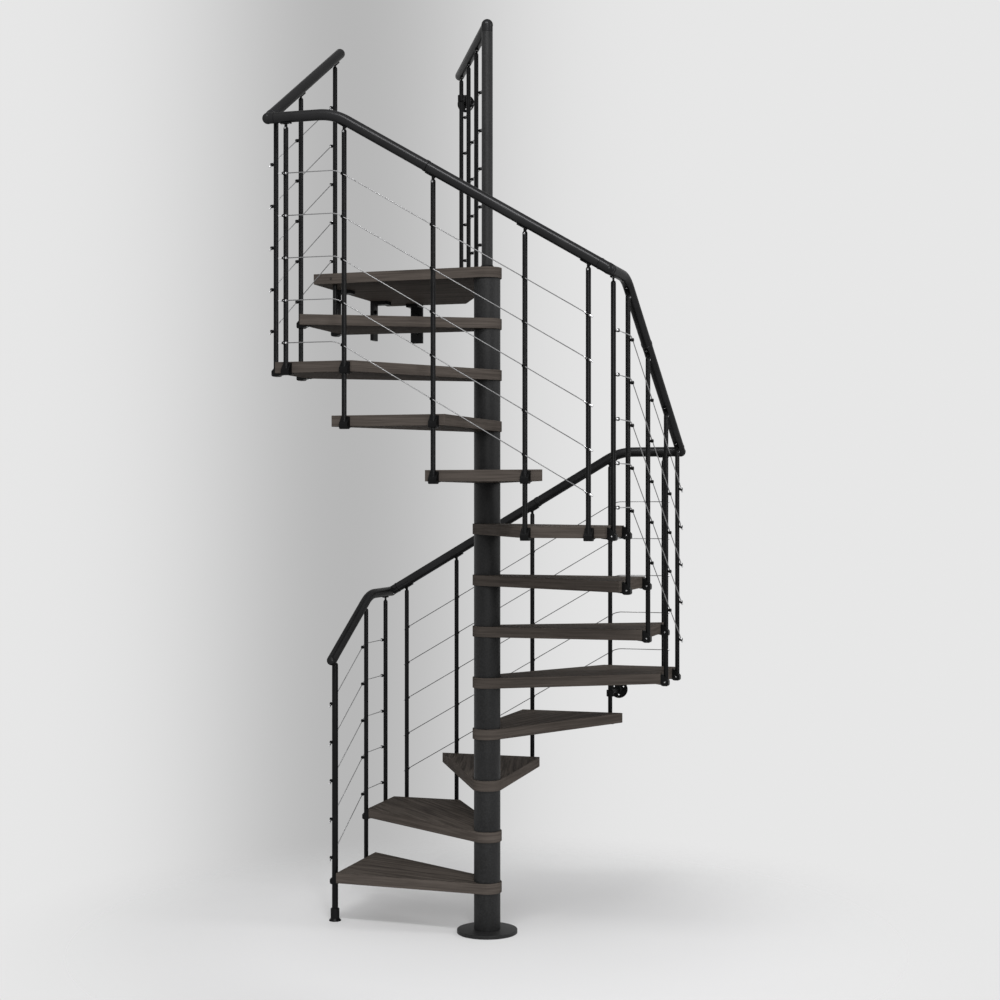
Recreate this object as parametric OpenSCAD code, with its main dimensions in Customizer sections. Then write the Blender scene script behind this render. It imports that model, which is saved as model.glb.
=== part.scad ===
// Square-plan spiral stair with a central column, cable-rail balustrade and a top landing.
// It climbs clockwise seen from above. The origin is on the floor at the column's axis, +Z is up.
// Each side of the square is drawn once, in side coordinates: t runs along the climb from the
// side's middle, n points outward, and z is measured from the side's first corner tread.

/* [Climb] */
// Height of one step
rise = 220; // [180:1:230]
// Distance from the column's axis to the row of balusters
line_half = 706; // [620:1:900]

/* [Column] */
// Outer diameter of the column's sleeves
column_d = 114; // [90:1:160]
// Diameter of the steel post inside the column, which stands on above the landing
core_d = 48; // [34:1:60]
// Diameter of the round base plate
base_d = 260; // [220:1:360]
// Thickness of the base plate
base_t = 15; // [8:1:25]

/* [Treads] */
// Thickness of the treads and of the landing
tread_t = 45; // [30:1:60]
// Width of the wooden rim left around the column
rim_w = 6; // [3:0.5:20]
// Angle between a tread's two long edges
tread_angle = 26.4; // [20:0.1:34]
// Gap from a tread's outer edge to the baluster line
edge_gap = 21; // [18:0.5:40]

/* [Landing] */
// How far the landing reaches past the baluster line at its side
landing_reach = 88; // [60:1:200]
// Angle of the landing's front edge from due west
landing_start = 2.1; // [0:0.1:10]
// Angle the landing turns through round the column
landing_turn = 60.6; // [50:0.1:85]

/* [Balustrade] */
// Diameter of the balusters
baluster_d = 20; // [14:0.5:30]
// Diameter of the thicker post at the foot of the stair
start_d = 27; // [22:0.5:40]
// Distance from a corner tread's edge to the first baluster on it
inner_inset = 24.4; // [18:0.1:50]
// Distance from the tread's corner to the baluster next to it
outer_inset = 58; // [30:1:90]
// Diameter of the handrail
rail_d = 44; // [36:0.5:60]
// Height of the handrail's centre above the tread at each side's middle
rail_h = 957; // [850:1:1100]
// Radius of the handrail's bends
rail_bend_r = 240; // [120:5:400]
// Number of cables
cable_count = 5; // [3:1:7]
// Diameter of the cables
cable_d = 4; // [3:0.5:6]
// Height between cables
cable_gap = 170.3; // [100:0.1:180]
// Drop from the handrail's centre to the top cable
cable_drop = 218; // [120:1:260]
// Distance from a baluster's axis out to the cables
cable_out = 19; // [16:0.5:26]

/* [Landing guard] */
// Height of the guard rail's centre above the landing
guard_h = 1048; // [900:1:1150]
// Angle from the landing's far edge to the guard
guard_lean = 1.5; // [0:0.1:3]
// Distance from the column's axis to the first guard post
guard_first = 340; // [200:1:360]
// Distance between guard posts
guard_step = 258; // [120:1:260]
// Drop from the guard rail's centre to its top cable
guard_cable_drop = 212; // [150:1:260]
// Height between the guard's cables
guard_cable_gap = 171.6; // [100:0.1:180]

/* [Wall fixings] */
// Distance from the back row of balusters to the wall, which the landing's back edge is fixed to
wall_gap = 180; // [120:1:250]
// Diameter of a wall flange
flange_d = 84; // [70:1:120]
// Diameter of each hole in a wall flange
flange_hole_d = 7; // [4:0.5:10]

/* [Hidden] */
$fn = 48;
large_fn = 96;

// Climb: three treads to a side, one of them a corner tread, and the landing on top.
tread_count = 12;
landing_z = (tread_count + 1) * rise;
edge_half = line_half - edge_gap;
rim_r = column_d / 2 + rim_w;
rim_steps = 40;
first_aim = 165;
aim_step = 30;
cut_past = 1;
fan_reach = 4 * (line_half + wall_gap + landing_reach);

// Places of the balusters along a side, from its middle. The inner one stands where the corner
// tread's long edge comes out to the side, and the handrail climbs one rise in that distance.
corner_edge = 45 - tread_angle / 2;
inner_step = edge_half * tan(corner_edge) - rim_r / cos(corner_edge) + inner_inset;
outer_step = edge_half - outer_inset;
pitch = rise / inner_step;
pitch_angle = atan(pitch);

// Handrail: level across the end of each side, pitched from the corner up to the bend.
rail_bend_t = 3 * rise / pitch - line_half;
rail_mid_z = 2 * rise + rail_h;
rail_end_overrun = 57;
rail_start_overrun = 38;
rail_bend_steps = 8;
rail_sides = 32;
elbow_stub = 30;
elbow_swell = 2;
dome_step = 15;
rail_joint_t = 20;
rail_joint_w = 2;
rail_joint_inset = 1.5;

// Cables: parallel to the handrail, level past the last baluster of the straight run.
cable_bend_t = inner_step + 25;
cable_bend_r = 100;
cable_bend_steps = 4;
cable_sides = 8;
cable_tail = 15;
stud_d = 14;
stud_past = 5;

// Holders: a cup outside the tread's edge on a plate screwed under the tread.
cup_wall = 10;
cup_top = 18;
cup_drop = 15;
cup_h = tread_t - cup_top + cup_drop;
cup_neck = 8;
cup_chamfer = 6;
cup_lip = 3;
holder_plate_t = 5;
holder_plate_l = 60;
holder_plate_w = 36;
start_post_level = 2;
landing_post_level = 1;

// Saddles between the balusters' tops and the handrail.
saddle_l = 46;
saddle_w = 20;
saddle_t = 5;
saddle_sink = 0.5;
neck_d = 9;
neck_h = 16;

// Landing guard: straight out from the column's top, beside the landing's far edge.
guard_angle = 180 - landing_start - landing_turn - guard_lean;
guard_count = 3;
guard_tail = 10;
guard_overrun = 80;
guard_socket = 25;
guard_z = landing_z + guard_h;
guard_end = guard_first + (guard_count - 1) * guard_step;

// Landing brackets: angle plates that hang the landing on the floor slab.
bracket_w = 60;
bracket_leg = 187;
bracket_arm = 84;
bracket_t = 16;
bracket_hole_d = 11;
bracket_hole_gap = 90;
bracket_hole_end = 46.75;
bracket_step = 466;
bracket_back_inset = 203;
bracket_side_inset = 157;

// Wall flanges.
wall_y = line_half + wall_gap;
clamp_wall = 7;
clamp_d = baluster_d + 2 * clamp_wall;
clamp_h = 30;
arm_d = 18;
flange_t = 6;
flange_pcd = 52;
flange_hole_count = 3;
flange_low_up = 87;
flange_guard_drop = 121;
flange_guard_shift = -14;

// Foot of the start post.
foot_wall = 6;
foot_d = start_d + 2 * foot_wall;
foot_h = 55;
foot_flare_w = 7;
foot_flare_d = foot_d + 2 * foot_flare_w;
foot_flare_h = 12;
foot_edge_h = 4;

wood = "#4a443f";
black = "#232325";
graphite = "#37383a";
steel = "#b9babc";

// Sides in climbing order. Side 0 is the lower west side and side 4 the upper west side.
function side_angle(side) = 90 - 90 * (side - 1);
function side_z(side) = (3 * side - 1) * rise;

// Height of the handrail's centre in side coordinates.
function rail_z(t) = rail_mid_z + pitch * min(t, rail_bend_t);

// Baluster positions: after the corner, the three of the straight run, before the corner.
baluster_t = [-outer_step, -inner_step, 0, inner_step, outer_step];
// Lowest and highest tread that holds each of them, counted from the side's corner tread.
baluster_low = [0, 0, 1, 2, 3];
baluster_high = [0, 1, 2, 3, 3];

// Height of the top cable in side coordinates.
function cable_z(t) = rail_mid_z - cable_drop + pitch * min(t, cable_bend_t);

// Direction a tread points to.
function tread_aim(i) = first_aim - aim_step * (i - 1);

module on_side(side) {
    translate([0, 0, side_z(side)])
        rotate([0, 0, side_angle(side) - 90])
            translate([0, line_half, 0])
                children();
}

module rod(a, b, d) {
    v = b - a;
    translate(a)
        rotate([0, acos(v.z / norm(v)), atan2(v.y, v.x)])
            cylinder(d = d, h = norm(v));
}

// A rod along +Z from the origin whose far end is domed.
module domed_rod(d, length) {
    rotate_extrude()
        polygon(concat(
            [[0, 0], [d / 2, 0]],
            [for (a = [0 : dome_step : 90]) [d / 2 * cos(a), length + d / 2 * sin(a)]]
        ));
}

// Stations along a run in the side's plane, pitched from t0 up to the bend and then level to t1.
// Each one is [t, z, slope, width factor].
function bend_stations(t0, bend_t, t1, level_z, bend_r, steps) =
    let (centre = [bend_t + bend_r * tan(pitch_angle / 2), level_z - bend_r])
    concat(
        [[t0, level_z - (bend_t - t0) * pitch, pitch_angle, 1]],
        [for (k = [0 : steps])
            let (a = pitch_angle * (1 - k / steps))
            [centre.x - bend_r * sin(a), centre.y + bend_r * cos(a), a, 1]],
        [[t1, level_z, 0, 1]]
    );

// Stations of a dome below the pitched end of a run at [t, z].
function dome_stations(t, z, d) =
    [for (a = [90 - dome_step : -dome_step : dome_step])
        let (back = d / 2 * sin(a))
        [t - back * cos(pitch_angle), z - back * sin(pitch_angle), pitch_angle, cos(a)]];

// A round tube swept through the stations as one closed surface.
module bent_rod(stations, d, sides) {
    count = len(stations);
    points = [for (s = stations) for (k = [0 : sides - 1])
        let (a = 360 / sides * (k + 0.5), r = d / 2 * s[3], lift = r * cos(a))
        [s[0] - lift * sin(s[2]), r * sin(a), s[1] + lift * cos(s[2])]];
    skin = [for (i = [0 : count - 2]) for (k = [0 : sides - 1])
        let (a = i * sides + k, b = i * sides + (k + 1) % sides)
        each [[a, b, a + sides], [b, b + sides, a + sides]]];
    near_end = [for (k = [1 : sides - 2]) [0, k + 1, k]];
    far = (count - 1) * sides;
    far_end = [for (k = [1 : sides - 2]) [far, far + k, far + k + 1]];
    polyhedron(points, concat(skin, near_end, far_end));
}

module base_plate() {
    color(black)
        cylinder(d = base_d, h = base_t, $fn = large_fn);
}

module core_post() {
    color(black)
        translate([0, 0, base_t])
            cylinder(d = core_d, h = guard_z - elbow_stub - base_t);
}

module column_sleeves() {
    color(black)
        for (i = [0 : tread_count]) {
            bottom = i == 0 ? base_t : i * rise;
            top = (i + 1) * rise - tread_t;
            translate([0, 0, bottom])
                difference() {
                    cylinder(d = column_d, h = top - bottom, $fn = large_fn);
                    translate([0, 0, -cut_past])
                        cylinder(d = core_d, h = top - bottom + 2 * cut_past);
                }
        }
}

// The rim round the column with two straight edges that leave it as tangents.
module fan_2d(from_angle, to_angle, reach) {
    left = [cos(from_angle), sin(from_angle)];
    right = [cos(to_angle), sin(to_angle)];
    back = 180 + from_angle - to_angle;
    rim = [for (k = [0 : rim_steps])
        let (a = from_angle + 90 + (360 - back) / rim_steps * k)
        rim_r * [cos(a), sin(a)]];
    polygon(concat(
        [rim[rim_steps] + reach * right, rim[0] + reach * left],
        rim
    ));
}

module tread(i) {
    aim = tread_aim(i);
    color(wood)
        translate([0, 0, i * rise - tread_t])
            difference() {
                linear_extrude(tread_t)
                    intersection() {
                        square(2 * edge_half, center = true);
                        fan_2d(aim + tread_angle / 2, aim - tread_angle / 2, fan_reach);
                    }
                translate([0, 0, -cut_past])
                    cylinder(d = core_d, h = tread_t + 2 * cut_past);
            }
}

module landing() {
    from = 180 - landing_start;
    to = from - landing_turn;
    color(wood)
        translate([0, 0, landing_z - tread_t])
            difference() {
                linear_extrude(tread_t)
                    intersection() {
                        translate([-line_half - landing_reach, -line_half])
                            square([2 * line_half, line_half + wall_y]);
                        fan_2d(from, to, fan_reach);
                    }
                translate([0, 0, -cut_past])
                    cylinder(d = core_d, h = tread_t + 2 * cut_past);
                translate([-line_half, 0, -cut_past])
                    cylinder(d = baluster_d, h = tread_t + 2 * cut_past);
                for (i = [0 : guard_count - 1])
                    at_guard(i)
                        translate([0, 0, tread_t - guard_socket])
                            cylinder(d = baluster_d, h = tread_t);
            }
}

module at_guard(i) {
    rotate([0, 0, guard_angle])
        translate([guard_first + i * guard_step, 0, 0])
            children();
}

// One angle plate: a leg down the slab's face and an arm under the landing.
module landing_bracket() {
    translate([-bracket_t, -bracket_w / 2, -bracket_leg])
        difference() {
            union() {
                cube([bracket_t, bracket_w, bracket_leg]);
                translate([bracket_t - bracket_arm, 0, bracket_leg - bracket_t])
                    cube([bracket_arm, bracket_w, bracket_t]);
            }
            for (drop = [0, bracket_hole_gap])
                translate([-cut_past, bracket_w / 2, bracket_hole_end + drop])
                    rotate([0, 90, 0])
                        cylinder(d = bracket_hole_d, h = bracket_t + 2 * cut_past);
        }
}

module landing_brackets() {
    west = line_half + landing_reach;
    first_y = wall_y - bracket_back_inset;
    color(black)
        translate([0, 0, landing_z - tread_t]) {
            for (y = [first_y, first_y - bracket_step])
                translate([-west, y, 0])
                    rotate([0, 0, 180])
                        landing_bracket();
            translate([bracket_side_inset - west, wall_y, 0])
                rotate([0, 0, 90])
                    landing_bracket();
        }
}

// A stud on the outward side of a post, bored along the cable's slope.
module cable_studs(t, top_z) {
    for (i = [0 : cable_count - 1])
        translate([t, 0, top_z - i * cable_gap])
            rotate([-90, 0, 0])
                cylinder(d = stud_d, h = cable_out + stud_past);
}

module cable_bores(t, top_z) {
    slope = t > cable_bend_t ? 0 : pitch_angle;
    for (i = [0 : cable_count - 1])
        translate([t, cable_out, top_z - i * cable_gap])
            rotate([0, 90 - slope, 0])
                cylinder(d = cable_d, h = 3 * stud_d, center = true);
}

module baluster(side, which) {
    t = baluster_t[which];
    bottom = baluster_low[which] * rise - cup_top - cup_h + cup_neck;
    top = rail_z(t) - rail_d / 2 / cos(pitch_angle) - saddle_t - neck_h;
    on_side(side)
        difference() {
            union() {
                translate([t, 0, bottom])
                    domed_rod(baluster_d, top - bottom);
                cable_studs(t, cable_z(t));
            }
            cable_bores(t, cable_z(t));
        }
}

module balusters_west_lower() {
    color(black)
        for (which = [3, 4])
            baluster(0, which);
}

module balusters_north() {
    color(black)
        for (which = [0 : 4])
            baluster(1, which);
}

module balusters_east() {
    color(black)
        for (which = [0 : 4])
            baluster(2, which);
}

module balusters_south() {
    color(black)
        for (which = [0 : 4])
            baluster(3, which);
}

module balusters_west_upper() {
    color(black)
        for (which = [0 : 2])
            baluster(4, which);
}

module start_post() {
    top = rail_z(0) - rail_d / 2 / cos(pitch_angle) - saddle_t - neck_h;
    color(black)
        on_side(0)
            difference() {
                union() {
                    translate([0, 0, rise + foot_flare_h])
                        domed_rod(start_d, top - rise - foot_flare_h);
                    cable_studs(0, cable_z(0));
                }
                cable_bores(0, cable_z(0));
            }
}

module start_post_foot() {
    color(black)
        translate([-line_half, 0, 0])
            difference() {
                rotate_extrude()
                    polygon([
                        [0, 0], [foot_flare_d / 2, 0], [foot_flare_d / 2, foot_edge_h],
                        [foot_d / 2, foot_flare_h], [foot_d / 2, foot_h], [0, foot_h]
                    ]);
                translate([0, 0, foot_flare_h])
                    cylinder(d = start_d, h = foot_h);
            }
}

module guard_posts() {
    cable_top = guard_z - guard_cable_drop;
    top = guard_z - rail_d / 2 - saddle_t - neck_h;
    color(black)
        for (i = [0 : guard_count - 1])
            at_guard(i)
                difference() {
                    union() {
                        translate([0, 0, landing_z - guard_socket])
                            domed_rod(baluster_d, top - landing_z + guard_socket);
                        for (c = [0 : cable_count - 1])
                            translate([0, 0, cable_top - c * guard_cable_gap])
                                rotate([90, 0, 0])
                                    cylinder(d = stud_d, h = cable_out + stud_past);
                    }
                    for (c = [0 : cable_count - 1])
                        translate([-stud_d, -cable_out, cable_top - c * guard_cable_gap])
                            rotate([0, 90, 0])
                                cylinder(d = cable_d, h = 2 * stud_d);
                }
}

// Stations of the tube that has the bend.
function upper_stations(start) =
    bend_stations(start, rail_bend_t, line_half - elbow_stub, rail_z(line_half), rail_bend_r,
        rail_bend_steps);

// A side's handrail is two tubes: one up from the corner and one with the bend.
module handrail(side) {
    start = -line_half + elbow_stub * cos(pitch_angle);
    color(graphite)
        on_side(side) {
            rod([start, 0, rail_z(start)], [rail_joint_t, 0, rail_z(rail_joint_t)], rail_d);
            bent_rod(upper_stations(rail_joint_t + rail_joint_w * cos(pitch_angle)), rail_d,
                rail_sides);
        }
}

// The collars between the two tubes of each full side.
module rail_joints() {
    joint = [rail_joint_t, 0, rail_z(rail_joint_t)];
    color(black)
        for (side = [1 : 3])
            on_side(side)
                rod(joint, joint + rail_joint_w * [cos(pitch_angle), 0, sin(pitch_angle)],
                    rail_d - rail_joint_inset);
}

module handrail_west_lower() {
    color(graphite)
        on_side(0)
            bent_rod(concat(
                dome_stations(-rail_start_overrun, rail_z(-rail_start_overrun), rail_d),
                upper_stations(-rail_start_overrun)
            ), rail_d, rail_sides);
}

module handrail_north() {
    handrail(1);
}

module handrail_east() {
    handrail(2);
}

module handrail_south() {
    handrail(3);
}

module handrail_west_upper() {
    start = -line_half + elbow_stub * cos(pitch_angle);
    color(graphite)
        on_side(4)
            translate([start, 0, rail_z(start)])
                rotate([0, 90 - pitch_angle, 0])
                    domed_rod(rail_d, (rail_end_overrun - start) / cos(pitch_angle));
}

// A ball joint at a corner, with one level and one pitched stub.
module rail_elbows() {
    level = [line_half, 0, rail_z(line_half)];
    color(graphite)
        for (side = [0 : 3])
            on_side(side)
                union() {
                    translate(level)
                        sphere(d = rail_d + elbow_swell);
                    rod([line_half - elbow_stub, 0, level.z], level, rail_d);
                    translate(level)
                        rotate([0, 0, -90])
                            rod([0, 0, 0], elbow_stub *
                                [cos(pitch_angle), 0, sin(pitch_angle)], rail_d);
                }
}

module guard_rail() {
    color(graphite)
        translate([0, 0, guard_z])
            rotate([0, 0, guard_angle])
                translate([elbow_stub, 0, 0])
                    rotate([0, 90, 0])
                        domed_rod(rail_d, guard_end + guard_overrun - elbow_stub - rail_d / 2);
}

module guard_elbow() {
    color(graphite)
        translate([0, 0, guard_z])
            rotate([0, 0, guard_angle])
                union() {
                    sphere(d = max(core_d, rail_d) + elbow_swell);
                    rod([0, 0, 0], [elbow_stub, 0, 0], rail_d);
                    rod([0, 0, -elbow_stub], [0, 0, 0], core_d);
                }
}

// The cables of one side between two balusters, with short tails past the end studs.
module side_cables(side, t0, t1) {
    color(steel)
        on_side(side)
            for (i = [0 : cable_count - 1])
                translate([0, cable_out, -i * cable_gap])
                    if (t1 > cable_bend_t)
                        bent_rod(bend_stations(t0, cable_bend_t, t1, cable_z(t1), cable_bend_r,
                            cable_bend_steps), cable_d, cable_sides);
                    else
                        rod([t0, 0, cable_z(t0)], [t1, 0, cable_z(t1)], cable_d);
}

module cables_west() {
    side_cables(0, -cable_tail, outer_step + cable_tail);
    side_cables(4, -outer_step - cable_tail, cable_tail);
}

module cables_north() {
    side_cables(1, -outer_step - cable_tail, outer_step + cable_tail);
}

module cables_east() {
    side_cables(2, -outer_step - cable_tail, outer_step + cable_tail);
}

module cables_south() {
    side_cables(3, -outer_step - cable_tail, outer_step + cable_tail);
}

module guard_cables() {
    color(steel)
        rotate([0, 0, guard_angle])
            for (i = [0 : cable_count - 1])
                translate([0, 0, guard_z - guard_cable_drop - i * guard_cable_gap])
                    rod([guard_tail, -cable_out, 0], [guard_end + cable_tail, -cable_out, 0], cable_d);
}

// A cup round the baluster with a plate under the tread. A lowest holder is closed below.
module holder(t, level, post_d, closed) {
    cup_r = post_d / 2 + cup_wall;
    translate([t, 0, level * rise - cup_top - cup_h])
        difference() {
            union() {
                rotate_extrude()
                    polygon([
                        [0, 0], [cup_r - cup_chamfer, 0], [cup_r, cup_chamfer],
                        [cup_r, cup_h - cup_neck], [post_d / 2 + cup_lip, cup_h], [0, cup_h]
                    ]);
                translate([-holder_plate_w / 2, -holder_plate_l,
                    cup_top + cup_h - tread_t - holder_plate_t])
                    cube([holder_plate_w, holder_plate_l, holder_plate_t]);
            }
            translate([0, 0, closed ? cup_neck : -cut_past])
                cylinder(d = post_d, h = 2 * cup_h);
            translate([-post_d - cup_wall, -edge_gap - post_d - cup_wall, cup_top + cup_h - tread_t])
                cube([2 * post_d + 2 * cup_wall, post_d + cup_wall, tread_t]);
        }
}

module side_holders(side, list) {
    color(black)
        on_side(side)
            for (which = list)
                for (level = [baluster_low[which] : baluster_high[which]])
                    holder(baluster_t[which], level, baluster_d, level == baluster_low[which]);
}

module holders_west() {
    color(black)
        on_side(0)
            holder(0, start_post_level, start_d, false);
    side_holders(0, [3, 4]);
    side_holders(4, [0, 1]);
    color(black)
        on_side(4)
            holder(0, landing_post_level, baluster_d, true);
}

module holders_north() {
    side_holders(1, [0 : 4]);
}

module holders_east() {
    side_holders(2, [0 : 4]);
}

module holders_south() {
    side_holders(3, [0 : 4]);
}

// A pivot neck and a small plate that follows the handrail's slope.
module saddle(slope) {
    union() {
        rotate([0, -slope, 0])
            translate([-saddle_l / 2, -saddle_w / 2, -saddle_t - rail_d / 2 + saddle_sink])
                cube([saddle_l, saddle_w, saddle_t]);
        top = rail_d / 2 / cos(slope) + saddle_t / 2;
        translate([0, 0, -top - neck_h])
            cylinder(d = neck_d, h = neck_h + saddle_t / 2);
    }
}

module rail_saddles() {
    color(black) {
        for (side = [0 : 4])
            for (which = [0 : 4])
                if (!(side == 0 && which < 2) && !(side == 4 && which > 2))
                    on_side(side)
                        translate([baluster_t[which], 0, rail_z(baluster_t[which])])
                            saddle(which == 4 ? 0 : pitch_angle);
        for (i = [0 : guard_count - 1])
            at_guard(i)
                translate([0, 0, guard_z])
                    saddle(0);
    }
}

// A clamp on a post and an arm that ends in a round flange against the wall. The flange stands
// shift to the side of the post.
module wall_flange(reach, shift) {
    difference() {
        union() {
            translate([0, 0, -clamp_h / 2])
                cylinder(d = clamp_d, h = clamp_h);
            rod([0, 0, 0], [shift, reach - flange_t / 2, 0], arm_d);
            translate([shift, reach - flange_t, 0])
                rotate([-90, 0, 0])
                    cylinder(d = flange_d, h = flange_t);
        }
        translate([0, 0, -clamp_h])
            cylinder(d = baluster_d, h = 2 * clamp_h);
        translate([shift, reach - flange_t - cut_past, 0])
            for (i = [0 : flange_hole_count - 1])
                rotate([0, 90 + 360 / flange_hole_count * i, 0])
                    translate([flange_pcd / 2, 0, 0])
                        rotate([-90, 0, 0])
                            cylinder(d = flange_hole_d, h = flange_t + 2 * cut_past);
    }
}

module wall_flanges() {
    post = guard_end * [cos(guard_angle), sin(guard_angle)];
    low_z = side_z(1) + baluster_low[3] * rise + flange_low_up;
    color(black) {
        translate([inner_step, line_half, low_z])
            wall_flange(wall_gap, 0);
        translate([post.x, post.y, guard_z - flange_guard_drop])
            wall_flange(wall_y - post.y, flange_guard_shift);
    }
}

base_plate();
core_post();
column_sleeves();
tread(1);  // tread_01
tread(2);  // tread_02
tread(3);  // tread_03
tread(4);  // tread_04
tread(5);  // tread_05
tread(6);  // tread_06
tread(7);  // tread_07
tread(8);  // tread_08
tread(9);  // tread_09
tread(10);  // tread_10
tread(11);  // tread_11
tread(12);  // tread_12
landing();
landing_brackets();
start_post();
start_post_foot();
balusters_west_lower();
balusters_north();
balusters_east();
balusters_south();
balusters_west_upper();
guard_posts();
handrail_west_lower();
handrail_north();
handrail_east();
handrail_south();
handrail_west_upper();
rail_joints();
rail_elbows();
guard_rail();
guard_elbow();
cables_west();
cables_north();
cables_east();
cables_south();
guard_cables();
holders_west();
holders_north();
holders_east();
holders_south();
rail_saddles();
wall_flanges();
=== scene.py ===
"""A square-plan spiral stair with a cable-rail balustrade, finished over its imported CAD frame.

Every piece is in metres in the frame of the CAD model: the origin is on the floor at the column's
axis and +Z is up. Each side of the square is worked out in side coordinates: x runs along the
climb from the side's middle, y points outward and z is measured from the side's corner tread.
"""
from functools import cache
from math import atan, cos, hypot, pi, radians, sin, tan

import bmesh
import bpy
from mathutils import Matrix, Vector
from mathutils.geometry import tessellate_polygon


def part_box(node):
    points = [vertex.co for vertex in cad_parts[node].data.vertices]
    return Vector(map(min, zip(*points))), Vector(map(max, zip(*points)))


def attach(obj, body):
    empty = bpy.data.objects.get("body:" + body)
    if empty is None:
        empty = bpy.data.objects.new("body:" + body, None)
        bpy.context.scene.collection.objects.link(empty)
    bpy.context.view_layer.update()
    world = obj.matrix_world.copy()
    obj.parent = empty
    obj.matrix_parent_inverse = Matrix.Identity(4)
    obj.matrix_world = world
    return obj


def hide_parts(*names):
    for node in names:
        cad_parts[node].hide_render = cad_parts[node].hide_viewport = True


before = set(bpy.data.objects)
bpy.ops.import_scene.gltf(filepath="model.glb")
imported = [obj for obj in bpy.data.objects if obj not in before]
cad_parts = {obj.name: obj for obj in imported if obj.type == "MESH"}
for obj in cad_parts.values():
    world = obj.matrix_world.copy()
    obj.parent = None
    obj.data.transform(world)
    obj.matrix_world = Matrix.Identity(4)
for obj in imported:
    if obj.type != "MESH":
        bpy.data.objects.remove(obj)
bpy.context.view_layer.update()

bl_info = {
    "name": "Cable-rail spiral stair",
    "version": (1, 0, 0),
    "blender": (4, 5, 0),
    "location": "3D View > Sidebar > Stair",
    "description": "Finishes the pieces of a spiral stair over its CAD frame",
    "category": "Add Mesh",
}

MM = 0.001


def low(node):
    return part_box(node)[0]


def high(node):
    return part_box(node)[1]


def middle(node):
    return (low(node) + high(node)) / 2


# Sizes that the CAD frame gives.
RISE = high("tread_01").z
TREAD_T = RISE - low("tread_01").z
TREAD_COUNT = sum(name.startswith("tread_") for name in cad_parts)
LANDING_Z = high("landing").z
LINE_HALF = -middle("start_post_foot").x
WALL_Y = high("wall_flanges").y
COLUMN_R = high("column_sleeves").x
CORE_R = high("core_post").x
GUARD_Z = middle("guard_rail").z

# The five sides in climbing order: the last tread of side 0 is the first of side 1.
SIDE_NAMES = ["west_lower", "north", "east", "south", "west_upper"]
# First and last level of the treads that hold each of a side's five balusters, and the balusters
# that each side has.
BALUSTER_LEVELS = [(0, 0), (0, 1), (1, 2), (2, 3), (3, 3)]
SIDE_BALUSTERS = [range(3, 5), range(5), range(5), range(5), range(3)]
START_POST_LEVEL = 2
FULL_SIDES = (1, 2, 3)
# The sides that share a node of cables or holders.
SIDE_GROUPS = {"west": (0, 4), "north": (1,), "east": (2,), "south": (3,)}
# Direction of the first tread in degrees from +X, and the turn to the next one.
FIRST_AIM = 165
AIM_STEP = 30
GUARD_COUNT = 3

# Sizes that several pieces share.
TUBE_CHAMFER = 0.8 * MM
SADDLE_NECK = 21 * MM
ELBOW_STUB = 30 * MM
RISING_STUB = 40 * MM
STUB_GAP = 1.5 * MM


def length(name, description, default):
    """A size property in metres."""
    return bpy.props.FloatProperty(
        name=name, description=description, default=default, min=0.0, unit="LENGTH", precision=4)


def colour(name, description, default):
    """A colour property, in linear values."""
    return bpy.props.FloatVectorProperty(
        name=name, description=description, default=default, min=0.0, max=1.0, subtype="COLOR")


class StairSizes(bpy.types.PropertyGroup):
    inner_step: length("Inner step", "Side's middle to the baluster beside it", 374.994 * MM)
    outer_step: length("Outer step", "Side's middle to the baluster at its end", 627 * MM)
    baluster_d: length("Baluster diameter", "Diameter of the balusters", 20 * MM)
    start_d: length("Start post diameter", "Diameter of the post at the foot", 27 * MM)
    rail_d: length("Handrail diameter", "Diameter of the handrail", 44 * MM)
    rail_h: length("Handrail height", "Its centre over the tread at a side's middle", 957 * MM)
    rail_bend_r: length("Handrail bend", "Radius of the handrail's bends", 240 * MM)
    cable_d: length("Cable diameter", "Diameter of the cables", 4 * MM)
    cable_gap: length("Cable gap", "Height between cables", 170.3 * MM)
    cable_drop: length("Cable drop", "Handrail's centre down to the top cable", 218 * MM)
    cable_out: length("Cable distance", "Baluster's axis out to the cables", 19 * MM)
    guard_first: length("First guard post", "Column's axis to the first guard post", 340 * MM)
    guard_step: length("Guard step", "Distance between guard posts", 258 * MM)
    guard_cable_drop: length("Guard cable drop", "Guard rail's centre to its top cable", 212 * MM)
    guard_cable_gap: length("Guard cable gap", "Height between the guard's cables", 171.6 * MM)
    edge_round: length("Edge rounding", "Rounding of the wooden edges", 1.6 * MM)
    cable_count: bpy.props.IntProperty(
        name="Cables", description="Number of cables on a side", default=5, min=1)
    guard_angle: bpy.props.FloatProperty(
        name="Guard angle", description="Direction of the guard, from +X",
        default=radians(115.8), subtype="ANGLE")


class StairColours(bpy.types.PropertyGroup):
    wood: colour("Wood", "Ground tone of the treads", (0.112, 0.096, 0.084))
    wood_dark: colour("Wood grain", "Dark streaks of the treads", (0.032, 0.0265, 0.0228))
    wood_edge: colour("Wood edge", "Edge band of the treads", (0.108, 0.092, 0.081))
    coat: colour("Textured coat", "Column and base plate", (0.0120, 0.0121, 0.0124))
    black: colour("Satin black", "Balusters and holders", (0.0125, 0.0125, 0.0128))
    graphite: colour("Graphite", "Handrail", (0.0265, 0.0265, 0.0273))
    steel: colour("Steel", "Cables and screws", (0.72, 0.72, 0.73))
    floor: colour("Floor", "Floor under the stair", (0.67, 0.67, 0.675))


def sizes():
    return bpy.context.scene.stair_sizes


def colours():
    return bpy.context.scene.stair_colours


# Side coordinates.

def slope():
    """Climb of the handrail for each metre along a side."""
    return RISE / sizes().inner_step


def baluster_places():
    """Places of the five balusters along a side."""
    s = sizes()
    return [-s.outer_step, -s.inner_step, 0.0, s.inner_step, s.outer_step]


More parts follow.
